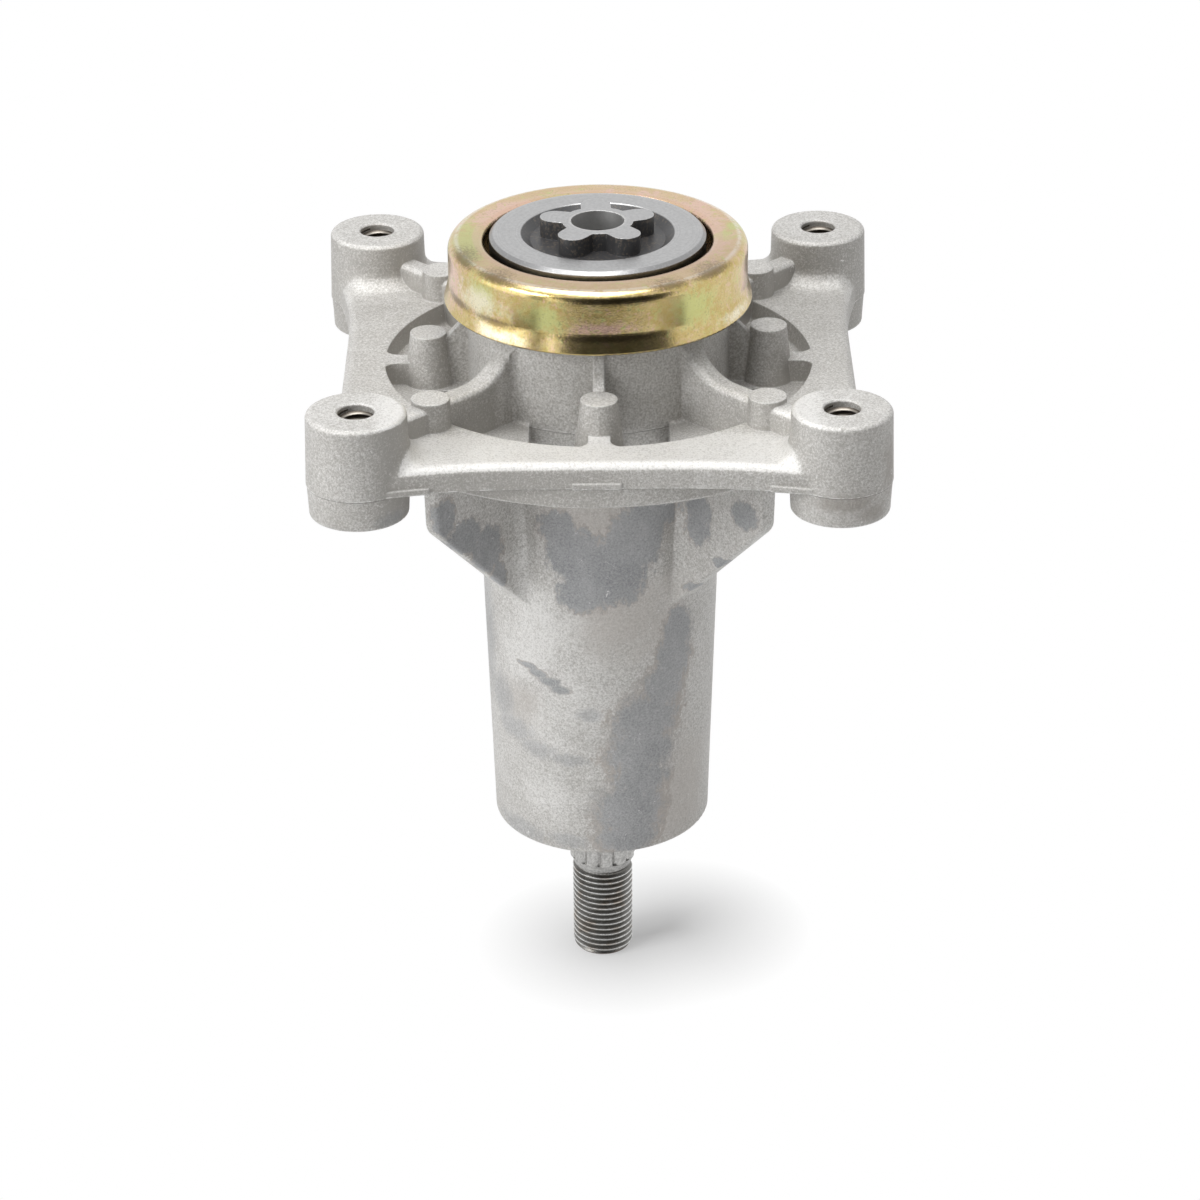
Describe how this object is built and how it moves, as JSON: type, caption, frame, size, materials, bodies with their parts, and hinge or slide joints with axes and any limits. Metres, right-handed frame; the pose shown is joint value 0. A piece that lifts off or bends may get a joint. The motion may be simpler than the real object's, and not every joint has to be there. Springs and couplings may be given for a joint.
{
  "type": "mower deck spindle",
  "caption": "Blade spindle of a mower deck: ribbed die-cast housing with bolt bosses, plated dust shield, star-headed shaft in sealed ball bearings and threaded pulley end.",
  "frame": {"origin": "on the spindle axis, in the plane of the four boss faces that bear on the deck", "axes": "+Z along the spindle axis towards the blade end, X and Y along the sides of the bolt square"},
  "size_m": [0.1261, 0.126, 0.1867],
  "materials": {
    "cast_aluminium": "blasted die casting, light stains",
    "shaft_steel": "turned and ground, black oxide in the recess",
    "zinc_plated_sheet": "yellow zinc passivate, glossy",
    "bearing_steel": "ground and polished",
    "cage_steel": "pressed sheet",
    "seal_rubber": "moulded, matte"
  },
  "bodies": {
    "housing": {"spindle_housing": "cast_aluminium", "blade_bearing_outer_ring": "bearing_steel", "blade_bearing_seal_upper": "seal_rubber", "blade_bearing_seal_lower": "seal_rubber", "pulley_bearing_outer_ring": "bearing_steel", "pulley_bearing_seal_upper": "seal_rubber", "pulley_bearing_seal_lower": "seal_rubber"},
    "shaft": {"spindle_shaft": "shaft_steel", "dust_shield": "zinc_plated_sheet", "spacer_sleeve": "shaft_steel", "blade_bearing_inner_ring": "bearing_steel", "pulley_bearing_inner_ring": "bearing_steel"},
    "blade_cage": {"blade_bearing_balls": "bearing_steel", "blade_bearing_cage_upper": "cage_steel", "blade_bearing_cage_lower": "cage_steel", "blade_bearing_cage_rivets": "cage_steel"},
    "pulley_cage": {"pulley_bearing_balls": "bearing_steel", "pulley_bearing_cage_upper": "cage_steel", "pulley_bearing_cage_lower": "cage_steel", "pulley_bearing_cage_rivets": "cage_steel"}
  },
  "joints": [
    {"name": "shaft_spin", "type": "hinge", "parent": "housing", "child": "shaft", "pos_m": [0, 0, 0], "axis": [0, 0, 1], "continuous": true},
    {"name": "blade_cage_spin", "type": "hinge", "parent": "housing", "child": "blade_cage", "pos_m": [0, 0, 0.0263], "axis": [0, 0, 1], "continuous": true},
    {"name": "pulley_cage_spin", "type": "hinge", "parent": "housing", "child": "pulley_cage", "pos_m": [0, 0, -0.0946], "axis": [0, 0, 1], "continuous": true}
  ],
  "couplings": [
    {"joint": "blade_cage_spin", "follows": "shaft_spin", "ratio": 0.38163},
    {"joint": "pulley_cage_spin", "follows": "shaft_spin", "ratio": 0.38163}
  ]
}
